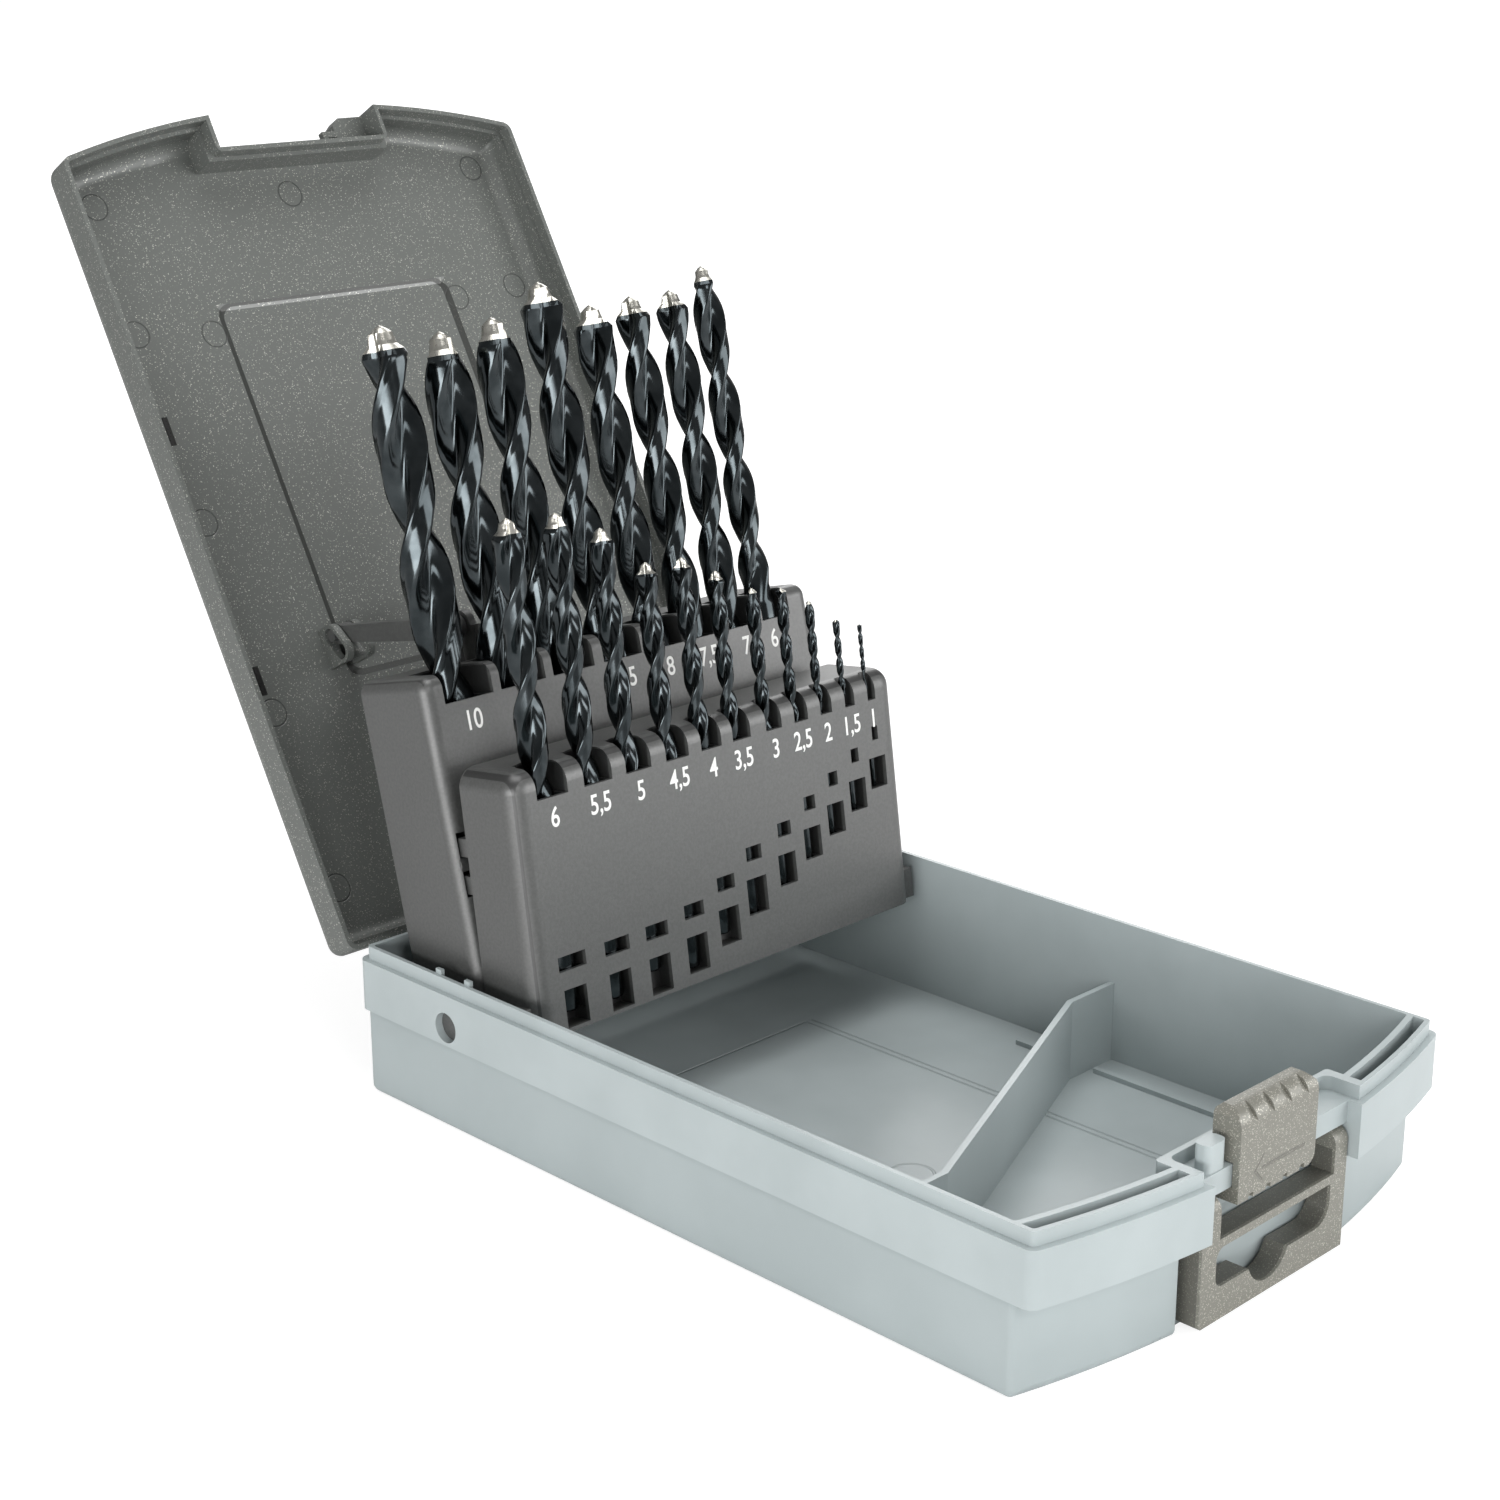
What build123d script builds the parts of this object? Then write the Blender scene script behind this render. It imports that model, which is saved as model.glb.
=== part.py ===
from build123d import *
import os
from math import atan2, cos, degrees, hypot, radians, sin, tan

os.makedirs("parts", exist_ok=True)

# Drill bit case, in mm. X runs across the case, Y from the latch (front) to the
# lid hinge (rear), Z up from the underside of the tray. The lid stands open.

# ---------------------------------------------------------------- case outline
half_width = 58.0
side_end_y = 84.0  # where the straight sides stop, front and rear
bow_radius = 212.0  # plan radius of the bowed front
bow_nose_y = 92.1  # how far the bow would reach on the centre line
corner_r = 2.2
notch_left = -20.6
notch_right = 22.1
notch_y = -83.8  # back wall of the latch notch
notch_x = (notch_left + notch_right) / 2
notch_width = notch_right - notch_left

# ------------------------------------------------------------------------ tray
floor_t = 1.0
step_z = 18.0  # underside of the thick rim band
band_z = 28.3  # seat for the lid
lip_z = 30.9
skirt_inset = 1.0  # lower body, in from the band at the sides
skirt_front = 4.5  # and much further in at the bowed front
skirt_notch = 2.3
lip_inset = 1.3
lip_wall = 0.9
belly_r = 1.8  # rounding along the underside
inner_wall = 1.2
notch_round = 1.6  # rounded back corners of the notch

# ------------------------------------------------------------------------- lid
lid_open = 119.6  # degrees
hinge_y = 85.2
hinge_z = 28.1
lid_seat_z = 28.55
lid_top_z = 38.7
lid_skin = 1.4
lid_edge_r = 4.6
lid_lap_wall = 1.0
lid_wall = 1.9
lid_hollow_r = 3.0  # rounding inside the top of the lid
lap_z = 31.3  # shoulder of the rebate that laps the tray lip
knuckle_r = 2.0
knuckle_pin_r = 1.25
knuckle_x = 37.0  # joint line between the ears of tray and lid

# ----------------------------------------------------------------------- racks
pivot_y = 57.45
pivot_z = 21.7
pivot_r = 2.95
pivot_end_x = 56.4  # the pins stop short of the outside of the tray
running_gap = 0.05
rack_half = 51.6
arm_near_x = 52.45
arm_far_x = 54.4

front_tilt = 7.94
front_face_w = 20.5  # forward of the pivot
front_back_w = 5.1
front_low_v = -1.5  # up the rack from the pivot
front_top_v = 49.0
front_mouth_v = 43.2
front_round = 3.8

rear_tilt = 14.0
rear_face_w = 4.6
rear_back_w = -15.2
rear_low_v = -4.5
rear_top_v = 65.6
rear_mouth_v = 59.8
rear_round = 2.6

front_wall_t = 1.0
drill_play = 0.08
mouth_extra = 1.3  # mouth is this much wider than its drill
back_wall_t = 1.5
rib_t = 1.2
wide_window = (5.5, 7.3, 10.9)  # width, height, rise of the upper window above the lower
small_window = (4.9, 6.4, 10.0)
upper_window_h = 2.9
upper_window_extra = 0.75  # wider than its drill

# (diameter, overall length, centre across the rack, seat and lower window up the rack)
front_drills = [
    (6.0, 93.0, -42.3, 1.7, -0.7),
    (5.5, 93.0, -31.0, 0.9, -0.8),
    (5.0, 86.0, -20.7, 3.4, -0.7),
    (4.5, 80.0, -10.6, 1.2, 0.7),
    (4.0, 75.0, -1.5, 5.6, 3.8),
    (3.5, 70.0, 6.8, 6.5, 7.8),
    (3.0, 61.0, 15.8, 10.5, 11.4),
    (2.5, 57.0, 23.6, 13.1, 14.9),
    (2.0, 49.0, 30.9, 17.2, 18.2),
    (1.5, 40.0, 37.9, 21.1, 21.5),
    (1.0, 34.0, 44.4, 24.9, 24.8),
]
rear_drills = [
    (10.0, 133.0, -41.3, -1.9, -3.6),
    (9.5, 125.0, -27.9, 3.4, 1.3),
    (9.0, 125.0, -15.0, 4.6, 4.4),
    (8.5, 117.0, -2.1, 18.1, 17.9),
    (8.0, 117.0, 9.9, 12.3, 12.1),
    (7.5, 109.0, 20.7, 20.9, 20.7),
    (7.0, 109.0, 31.5, 21.0, 20.8),
    (6.5, 101.0, 41.3, 32.9, 32.7),
]
point_angle = 118.0

# catch between the two racks
catch_x = 48.7
catch_half = 1.1
catch_v = 29.6
catch_w = 3.2
catch_pin_r = 1.5

# ------------------------------------------------------------------- lid strut
strut_x = -30.0
strut_half = 1.5
strut_pin_r = 1.25
strut_rack_v = 72.1
strut_rack_w = -11.3
strut_lid_y = 21.3  # closed-lid position of the far pivot, lid open
strut_lid_z = 33.4
slot_y = 23.2  # middle of the slot that the far pivot slides in
slot_z = 32.9
slot_travel = 4.0
slot_angle = -27.5
slot_r = 1.75
slot_wall = 0.8
cheek_t = 1.6
cheek_gap = 0.35

# ------------------------------------------------------------ latch and hanger
rail_front_y = -88.2
rail_low_z = 24.2
stop_x = -15.9  # post on the rail beside the left end of the slider
stop_width = 5.2
stop_depth = 3.2
stop_top_z = 33.4
slider_left = -12.0
slider_right = 10.2
slider_front_y = -89.7
slider_back_y = -84.1
slider_low_z = 21.4
slider_top_z = 37.8
slider_pocket_y = -88.2
hook_root = 14.1
hook_tip = 10.7
hook_front_y = -90.9
hook_finger_y = -88.0
hook_finger_w = 1.4
hook_low_z = 34.4
hook_high_z = 35.9  # top of the finger; its root block runs up to the skin

flap_left = -20.2
flap_right = 21.6
flap_front_y = -89.0
flap_back_y = -84.4
flap_low_z = 1.2
flap_pivot_y = -86.7
flap_pivot_z = 21.3
arm_left = -15.3  # inner sides of the two arms of the flap
arm_right = 17.9
crossbar_top_z = 16.1
slot_x = 0.55
slot_width = 33.1
slot_high_z = 14.5
slot_low_z = 7.3
slot_bay_x = -0.8
slot_bay_z = 9.4
slot_bay_r = 6.0
flap_pin_r = 1.4


def rim_plan(inset, front=None, notch=None, back=None, back_round=0.0):
    """Plan of the case, drawn in by an inset; the bow and the notch can have their own."""
    front, notch, back = (inset if own is None else own for own in (front, notch, back))
    edge = half_width - inset
    rear = side_end_y - inset
    left = notch_left - notch
    right = notch_right + notch

    def bow_y(x):
        return bow_radius - bow_nose_y - ((bow_radius - front) ** 2 - x**2) ** 0.5

    with BuildSketch() as plan:
        with BuildLine():
            Polyline((-edge, bow_y(edge)), (-edge, rear), (edge, rear), (edge, bow_y(edge)))
            ThreePointArc((-edge, bow_y(edge)), (-40, bow_y(40)), (left, bow_y(left)))
            ThreePointArc((edge, bow_y(edge)), (40, bow_y(40)), (right, bow_y(right)))
            Polyline(
                (left, bow_y(left)),
                (left, notch_y + back),
                (right, notch_y + back),
                (right, bow_y(right)),
            )
        make_face()
        fillet([v for v in plan.vertices() if abs(v.X) > edge - 1], max(corner_r - inset, 0.7))
        if back_round:
            notch_corners = [v for v in plan.vertices() if abs(v.X) < 30 and v.Y > notch_y]
            fillet(notch_corners, back_round)
    return plan.sketch


def rack_frame(tilt):
    """Frame on the rack pivot: x across, y up the rack, z out of its front face."""
    lean = radians(tilt)
    return Plane(
        origin=(0, pivot_y, pivot_z), x_dir=(1, 0, 0), z_dir=(0, -cos(lean), sin(lean))
    )


def across(frame, height):
    """Plane square to the pockets, a height up the rack; its y runs rearward."""
    origin = frame.from_local_coords(Vector(0, height, 0))
    return Plane(origin=origin, x_dir=(1, 0, 0), z_dir=frame.y_dir)


def side_plane(x):
    """Plane square to X; sketch x runs along world Y and sketch y along Z."""
    return Plane(origin=(x, 0, 0), x_dir=(0, 1, 0), z_dir=(1, 0, 0))


def rack_side(frame, x):
    """Plane square to X in a rack; sketch x runs up the rack, sketch y to the front."""
    origin = frame.from_local_coords(Vector(x, 0, 0))
    return Plane(origin=origin, x_dir=frame.y_dir, z_dir=(1, 0, 0))


def pocket_w(face_w, wall, diameter):
    """How far forward of the pivot a pocket axis lies."""
    return face_w - wall - drill_play - diameter / 2


def pocket_cutter(frame, face_w, mouth_v, top_v, size):
    """Blind square pocket with the wide round-backed mouth that opens through the face."""
    diameter, _, x, seat, _ = size
    axis_w = pocket_w(face_w, front_wall_t, diameter)
    width = 1.04 * diameter + mouth_extra
    depth = face_w - axis_w + diameter / 2 + mouth_extra / 2
    with BuildPart() as cutter:
        with BuildSketch(across(frame, seat)):
            with Locations((x, -axis_w)):
                Rectangle(diameter + 2 * drill_play, diameter + 2 * drill_play)
        extrude(amount=top_v + 2 - seat)
        with BuildSketch(across(frame, mouth_v)):
            with Locations((x, -face_w + depth - width / 2)):
                Circle(width / 2)
            with Locations((x, -face_w + (depth - width / 2) / 2 - 1)):
                Rectangle(width, depth - width / 2 + 2)
        extrude(amount=top_v - mouth_v + 2)
    return cutter.part


def window_cutter(frame, face_w, size):
    """Two sight windows in the rack face, over the seated end of a drill."""
    diameter, _, x, _, low_v = size
    low_w, low_h, rise = wide_window if diameter > 3.2 else small_window
    with BuildPart() as cutter:
        with BuildSketch(frame.offset(face_w + 1)):
            with Locations((x, low_v + low_h / 2)):
                Rectangle(low_w, low_h)
        extrude(amount=-(1 + max(front_wall_t + 0.55 * diameter, 3.0)))
        with BuildSketch(frame.offset(face_w + 1)):
            with Locations((x, low_v + rise + upper_window_h / 2)):
                Rectangle(diameter + upper_window_extra, upper_window_h)
        extrude(amount=-(1 + max(front_wall_t + 0.5 * diameter, 2.5)))
    return cutter.part


def hollow_back(frame, back_w, depth, low_v, high_v, ribs):
    """Recess that leaves a rack open-backed inside its rim, crossed by upright ribs."""
    with BuildPart() as cutter:
        with BuildSketch(frame.offset(back_w - 1)):
            with Locations((0, (low_v + high_v) / 2)):
                Rectangle(2 * (rack_half - back_wall_t), high_v - low_v - 2 * back_wall_t)
            for rib_x in ribs:
                with Locations((rib_x, (low_v + high_v) / 2)):
                    Rectangle(rib_t, high_v - low_v, mode=Mode.SUBTRACT)
        extrude(amount=depth + 1)
    return cutter.part


def rack_shell(frame, face_w, back_w, low_v, top_v, round_r):
    """Rounded block of a rack before its pockets are cut."""
    with BuildPart() as block:
        with BuildSketch(frame.offset(back_w)):
            with Locations((0, (low_v + top_v) / 2)):
                Rectangle(2 * rack_half, top_v - low_v)
        extrude(amount=face_w - back_w)
        face = block.faces().sort_by(Axis((0, 0, 0), frame.z_dir))[-1]
        head = block.faces().sort_by(Axis((0, 0, 0), frame.y_dir))[-1]
        low_edge = face.edges().sort_by(Axis((0, 0, 0), frame.y_dir))[0]
        front_edges = [e for e in face.edges() if e != low_edge]
        end_edges = [e for e in head.edges() if abs(e.center().X) > rack_half - 0.1]
        fillet(front_edges + end_edges, round_r)
    return block.part


def drill_bit(frame, face_w, size):
    """Jobber drill standing in its pocket: round shank with a ground cone point."""
    diameter, length, x, seat, _ = size
    radius = diameter / 2
    axis_w = pocket_w(face_w, front_wall_t, diameter)
    foot_v = seat + 0.03
    cone_h = radius / tan(radians(point_angle / 2))
    with BuildPart() as bit:
        with BuildSketch(frame.offset(axis_w)):
            with BuildLine():
                Polyline(
                    (x, foot_v),
                    (x + radius, foot_v),
                    (x + radius, foot_v + length - cone_h),
                    (x, foot_v + length),
                    (x, foot_v),
                )
            make_face()
        axis_foot = frame.from_local_coords(Vector(x, foot_v, axis_w))
        revolve(axis=Axis(axis_foot, frame.y_dir))
    return bit.part


front = rack_frame(front_tilt)
rear = rack_frame(rear_tilt)

# lid drawn in closed-case coordinates on a frame swung open about the hinge
swing = radians(lid_open)
lid_frame = Plane(
    origin=(
        0,
        hinge_y - hinge_y * cos(swing) - hinge_z * sin(swing),
        hinge_z + hinge_y * sin(swing) - hinge_z * cos(swing),
    ),
    x_dir=(1, 0, 0),
    z_dir=(0, sin(swing), cos(swing)),
)


def lid_side(x):
    """Plane square to X in the lid; sketch x runs along closed Y, sketch y along Z."""
    origin = lid_frame.from_local_coords(Vector(x, 0, 0))
    return Plane(origin=origin, x_dir=lid_frame.y_dir, z_dir=(1, 0, 0))


# ======================================================================== tray
divider_t = 1.2
divider_top_z = 17.6
divider_bends = ((56.2, -12.3), (42.3, -12.3), (-30.7, -43.1), (-56.2, -43.1))
floor_ribs = (  # place across, front end and rear end
    (48.7, -76.0, -14.3),
    (48.7, -10.3, 5.5),
    (-48.7, -76.0, -45.1),
    (-48.7, -41.1, 5.5),
)
floor_rib_w = 1.4
floor_rib_top_z = 2.0
wing_floor_t = 1.2  # floor of the narrow pockets in the wings
hollow_inset = lip_inset + lip_wall
hollow_front = skirt_front + inner_wall
hollow_notch = 3.4
hollow_back_inset = 2.4

with BuildPart() as tray:
    with BuildSketch():
        add(rim_plan(skirt_inset, skirt_front, skirt_notch, 0))
    extrude(amount=step_z)
    underside = tray.faces().sort_by(Axis.Z)[0]
    belly_edges = [
        e for e in underside.edges() if abs(e.center().X) > notch_right + 3 or e.center().Y > 0
    ]
    fillet(belly_edges, belly_r)
    with BuildSketch(Plane.XY.offset(step_z)):
        add(rim_plan(0))
    extrude(amount=band_z - step_z)
    with BuildSketch(Plane.XY.offset(band_z)):
        add(rim_plan(lip_inset, back_round=notch_round))
    extrude(amount=lip_z - band_z)

    # hollow of the tray, and narrow pockets between the double walls of the wings
    with BuildSketch(Plane.XY.offset(floor_t)):
        add(rim_plan(hollow_inset, hollow_front, hollow_notch, hollow_back_inset, notch_round - 0.8))
    extrude(amount=lip_z - floor_t, mode=Mode.SUBTRACT)
    with BuildSketch(Plane.XY.offset(step_z + wing_floor_t)):
        add(rim_plan(hollow_inset, hollow_inset, hollow_notch, 0))
        add(rim_plan(0, skirt_front, hollow_notch, 0), mode=Mode.SUBTRACT)
        with Locations((notch_x, 0)):
            Rectangle(notch_width + 2 * hollow_notch, 400, mode=Mode.SUBTRACT)
    extrude(amount=lip_z - step_z, mode=Mode.SUBTRACT)

    # cranked divider that follows the tips of the folded drills
    with BuildSketch(Plane.XY.offset(floor_t - 0.2)):
        for start, end in zip(divider_bends, divider_bends[1:]):
            run = (end[0] - start[0], end[1] - start[1])
            middle = (start[0] + run[0] / 2, start[1] + run[1] / 2)
            with Locations(Location((*middle, 0), (0, 0, degrees(atan2(run[1], run[0]))))):
                SlotOverall(hypot(*run) + divider_t, divider_t)
    extrude(amount=divider_top_z - floor_t + 0.2)

    # low ribs along the floor beside the side walls, on both sides of the divider
    with BuildSketch(Plane.XY.offset(floor_t - 0.2)):
        for across_x, front_y, rear_y in floor_ribs:
            with Locations((across_x, (front_y + rear_y) / 2)):
                Rectangle(floor_rib_w, rear_y - front_y)
    extrude(amount=floor_rib_top_z - floor_t + 0.2)

    # rail across the notch, with the stop of the slider at its left
    with BuildSketch(Plane.XY.offset(rail_low_z)):
        with Locations((notch_x, (rail_front_y + notch_y) / 2 + 0.2)):
            Rectangle(notch_width + 0.4, notch_y - rail_front_y + 0.4)
    extrude(amount=band_z - rail_low_z)
    with BuildSketch(Plane.XY.offset(band_z - 1)):
        with Locations((stop_x, rail_front_y + 0.2 + stop_depth / 2)):
            RectangleRounded(stop_width, stop_depth, 1.2)
    extrude(amount=stop_top_z - band_z + 1)

    # bearings for the racks, and the snap prongs above them
    for side in (-1, 1):
        with Locations((side * half_width, pivot_y, pivot_z)):
            Cylinder(pivot_r + running_gap, 8, rotation=(0, 90, 0), mode=Mode.SUBTRACT)
        with BuildSketch(Plane.XY.offset(pivot_z + 4)):
            for along in (-4.2, 4.2):
                with Locations((side * 55.45, pivot_y + along)):
                    Rectangle(0.8, 1.6)
        extrude(amount=lip_z + 0.9 - pivot_z - 4)

    # hinge ears behind the rear wall, with bores for the pins of the lid
    for side in (-1, 1):
        with BuildSketch(side_plane(side * knuckle_x)):
            with Locations((hinge_y, hinge_z)):
                Circle(knuckle_r)
            with Locations((hinge_y - 1.2, hinge_z - 1.9)):
                Rectangle(2.4, 3.8)
        extrude(amount=side * 6.0)
        with Locations((side * (knuckle_x + 3), hinge_y, hinge_z)):
            Cylinder(
                knuckle_pin_r + running_gap, 6.4, rotation=(0, 90, 0), mode=Mode.SUBTRACT
            )
        with BuildSketch(side_plane(side * (knuckle_x - 0.01))):
            with Locations((hinge_y, hinge_z)):
                Circle(knuckle_r + 0.35)
        extrude(amount=-side * 7.4, mode=Mode.SUBTRACT)

    # bores in the notch cheeks for the pins of the hanger flap
    with Locations((notch_x, flap_pivot_y, flap_pivot_z)):
        Cylinder(
            flap_pin_r + running_gap, notch_width + 3.6, rotation=(0, 90, 0), mode=Mode.SUBTRACT
        )

# ========================================================================= lid
panel_width = 61.0
panel_length = 83.0
panel_depth = 0.5
mark_spots = ((-52, -27.8), (-52, 26.2), (52, -27.8), (52, 26.2))


def crown_edges(block):
    """Edges round the top of a lid block, leaving out those of the latch notch."""
    crown = block.faces().sort_by(Axis((0, 0, 0), lid_frame.z_dir))[-1]
    edges = []
    for edge in crown.edges():
        place = lid_frame.to_local_coords(edge.center())
        if abs(place.X) > notch_right + lid_wall + 0.5 or place.Y > 0:
            edges.append(edge)
    return edges


with BuildPart() as lid_hollow:
    with BuildSketch(lid_frame.offset(lap_z)):
        add(rim_plan(lid_wall))
    extrude(amount=lid_top_z - lid_skin - lap_z)
    fillet(crown_edges(lid_hollow), lid_hollow_r)

with BuildPart() as lid:
    with BuildSketch(lid_frame.offset(lid_seat_z)):
        add(rim_plan(0))
    extrude(amount=lid_top_z - lid_seat_z)
    fillet(crown_edges(lid), lid_edge_r)
    add(lid_hollow.part, mode=Mode.SUBTRACT)
    with BuildSketch(lid_frame.offset(lid_seat_z)):
        add(rim_plan(lid_lap_wall, back_round=notch_round))
    extrude(amount=lap_z - lid_seat_z, mode=Mode.SUBTRACT)

    # sunk panel with sloping edges on the inside
    with BuildSketch(lid_frame.offset(lid_top_z - lid_skin)):
        with Locations((1, -11.5)):
            Rectangle(panel_width, panel_length)
    extrude(amount=panel_depth, taper=70, mode=Mode.SUBTRACT)

    # small blind slots beside the side walls
    with BuildSketch(lid_frame.offset(lid_top_z - lid_skin - 0.5)):
        with Locations(*mark_spots):
            Rectangle(1.7, 6.0)
    extrude(amount=1.1, mode=Mode.SUBTRACT)

    # catch that the latch slider holds down: a block beside the notch ...
    with BuildSketch(lid_frame.offset(hook_low_z)):
        with BuildLine():
            Polyline(
                (notch_right + 0.3, hook_front_y),
                (hook_root + 2, hook_front_y),
                (hook_root, hook_front_y + 1.7),
                (hook_root, notch_y + 0.3),
                (notch_right + 0.3, notch_y + 0.3),
                close=True,
            )
        make_face()
    extrude(amount=lid_top_z - 0.6 - hook_low_z)
    # ... and its barbed finger
    with BuildSketch(lid_frame.offset(hook_low_z)):
        with Locations(((hook_root + hook_tip) / 2 + 0.1, hook_finger_y + hook_finger_w / 2)):
            Rectangle(hook_root - hook_tip + 0.2, hook_finger_w)
        with Locations((hook_tip + 0.6, hook_finger_y + hook_finger_w + 0.35)):
            Rectangle(1.2, 0.9)
    extrude(amount=hook_high_z - hook_low_z)

    # cheeks that hold the far end of the strut; their holes are slotted
    for side in (-1, 1):
        inner_x = strut_x + side * (strut_half + cheek_gap)
        with BuildSketch(lid_side(inner_x)):
            with Locations(Location((slot_y, slot_z, 0), (0, 0, slot_angle))):
                SlotCenterToCenter(slot_travel, 2 * (slot_r + slot_wall))
            with Locations((slot_y, (slot_z + lid_top_z - 0.8) / 2)):
                Rectangle(8.4, lid_top_z - 0.8 - slot_z)
            with Locations(Location((slot_y, slot_z, 0), (0, 0, slot_angle))):
                SlotCenterToCenter(slot_travel, 2 * slot_r, mode=Mode.SUBTRACT)
        extrude(amount=side * cheek_t)

    # relief for the ears of the tray, then ears of its own with moulded pins
    for side in (-1, 1):
        with BuildSketch(lid_side(side * (knuckle_x - 0.3))):
            with Locations((hinge_y - 0.2, hinge_z + 0.8)):
                Rectangle(4.4, 3.2)
        extrude(amount=side * 6.7, mode=Mode.SUBTRACT)
        with BuildSketch(lid_side(side * (knuckle_x - 0.3))):
            with Locations((hinge_y, hinge_z)):
                Circle(knuckle_r)
            with Locations((hinge_y - 1.1, hinge_z + 1.9)):
                Rectangle(2.2, 3.8)
        extrude(amount=-side * 6.2)
        with BuildSketch(lid_side(side * (knuckle_x - 0.4))):
            with Locations((hinge_y, hinge_z)):
                Circle(knuckle_pin_r)
        extrude(amount=side * 6.0)

# ================================================================== front rack
front_pockets = [
    pocket_cutter(front, front_face_w, front_mouth_v, front_top_v, size) for size in front_drills
]
front_windows = [window_cutter(front, front_face_w, size) for size in front_drills]

with BuildPart() as front_rack:
    add(rack_shell(front, front_face_w, front_back_w, front_low_v, front_top_v, front_round))
    add(
        hollow_back(front, front_back_w, 5.4, front_low_v, front_mouth_v - 1, (-36, -18, 0, 18, 36)),
        mode=Mode.SUBTRACT,
    )
    for cutter in front_pockets + front_windows:
        add(cutter, mode=Mode.SUBTRACT)

    # arms at the foot reach back to the shared pivot
    for side in (-1, 1):
        with BuildSketch(rack_side(front, side * arm_near_x)):
            Circle(4.6)
            with Locations((1.6, 9)):
                Rectangle(6.2, 18)
            Circle(pivot_r + running_gap, mode=Mode.SUBTRACT)
        extrude(amount=side * (arm_far_x - arm_near_x))
        with BuildSketch(rack_side(front, side * (rack_half - 1))):
            with Locations((1.6, 12.2)):
                Rectangle(6.2, 11.6)
        extrude(amount=side * (arm_near_x - rack_half + 1.1))

    # open clips on the back take the pins of the rear rack when the case is shut
    for side in (-1, 1):
        with BuildSketch(rack_side(front, side * catch_x - catch_half)):
            with Locations((catch_v, 5.7)):
                Rectangle(10.8, 10.6)
            with Locations((catch_v, catch_w)):
                Circle(catch_pin_r + 0.3, mode=Mode.SUBTRACT)
            with Locations((catch_v, catch_w - 2)):
                Rectangle(3.8, 4.0, mode=Mode.SUBTRACT)
        extrude(amount=2 * catch_half)

# =================================================================== rear rack
rear_pockets = [
    pocket_cutter(rear, rear_face_w, rear_mouth_v, rear_top_v, size) for size in rear_drills
]
rear_windows = [window_cutter(rear, rear_face_w, size) for size in rear_drills]

with BuildPart() as rear_rack:
    add(rack_shell(rear, rear_face_w, rear_back_w, rear_low_v, rear_top_v, rear_round))
    add(
        hollow_back(rear, rear_back_w, 6.6, rear_low_v, rear_mouth_v - 1, (-45, -20, -6, 9, 24, 39)),
        mode=Mode.SUBTRACT,
    )
    for cutter in rear_pockets + rear_windows:
        add(cutter, mode=Mode.SUBTRACT)

    # channel through the top rim, where the strut lies when the case is shut
    with BuildSketch(rear.offset(rear_back_w - 1)):
        with Locations((strut_x, 52)):
            Rectangle(9.6, 48)
    extrude(amount=8.8, mode=Mode.SUBTRACT)

    # slots in the face with a cross pin each, for the clips of the front rack
    for side in (-1, 1):
        with BuildSketch(rear.offset(rear_face_w + 1)):
            with Locations((side * catch_x, catch_v)):
                Rectangle(2 * catch_half + 1, 12.4)
        extrude(amount=-(rear_face_w + 1.4), mode=Mode.SUBTRACT)
        with BuildSketch(rack_side(rear, side * catch_x - catch_half - 0.7)):
            with Locations((catch_v, catch_w)):
                Circle(catch_pin_r)
        extrude(amount=2 * catch_half + 1.4)

    # pivot pins that run through the front rack arms into the tray
    for side in (-1, 1):
        with BuildSketch(rack_side(rear, side * (rack_half - 0.6))):
            Circle(pivot_r)
        extrude(amount=side * (pivot_end_x - rack_half + 0.6))

    # lugs above the top rim for the near end of the strut
    for side in (-1, 1):
        inner_x = strut_x + side * (strut_half + cheek_gap)
        with BuildSketch(rack_side(rear, inner_x)):
            with Locations((strut_rack_v, strut_rack_w)):
                Circle(3.0)
            with Locations(((strut_rack_v + rear_top_v - 3) / 2, strut_rack_w + 0.6)):
                Rectangle(strut_rack_v - rear_top_v + 3, 7.2)
            with Locations((strut_rack_v, strut_rack_w)):
                Circle(strut_pin_r + running_gap, mode=Mode.SUBTRACT)
        extrude(amount=side * cheek_t)

# ======================================================================= strut
strut_near = rear.from_local_coords(Vector(0, strut_rack_v, strut_rack_w))
strut_far = lid_frame.from_local_coords(Vector(0, strut_lid_y, strut_lid_z))
strut_reach = strut_far - strut_near
strut_frame = Plane(
    origin=(strut_x - strut_half, strut_near.Y, strut_near.Z),
    x_dir=strut_reach.normalized(),
    z_dir=(1, 0, 0),
)

with BuildPart() as lid_strut:
    with BuildSketch(strut_frame):
        Circle(2.3)
        with Locations((strut_reach.length, 0)):
            Circle(2.1)
        with BuildLine():
            Polyline(
                (0, 2.2),
                (strut_reach.length, 1.7),
                (strut_reach.length, -1.7),
                (0, -2.2),
                close=True,
            )
        make_face()
    extrude(amount=2 * strut_half)
    pin_reach = cheek_gap + cheek_t - 0.1
    with BuildSketch(strut_frame.offset(-pin_reach)):
        with Locations((0, 0), (strut_reach.length, 0)):
            Circle(strut_pin_r)
    extrude(amount=2 * (strut_half + pin_reach))

# ================================================================ latch slider
slider_width = slider_right - slider_left
slider_x = (slider_right + slider_left) / 2
groove_pitch = 4.9
groove_width = 1.6
slider_mid_z = (slider_low_z + slider_top_z) / 2
slider_mid_y = (slider_front_y + slider_back_y) / 2

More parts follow.
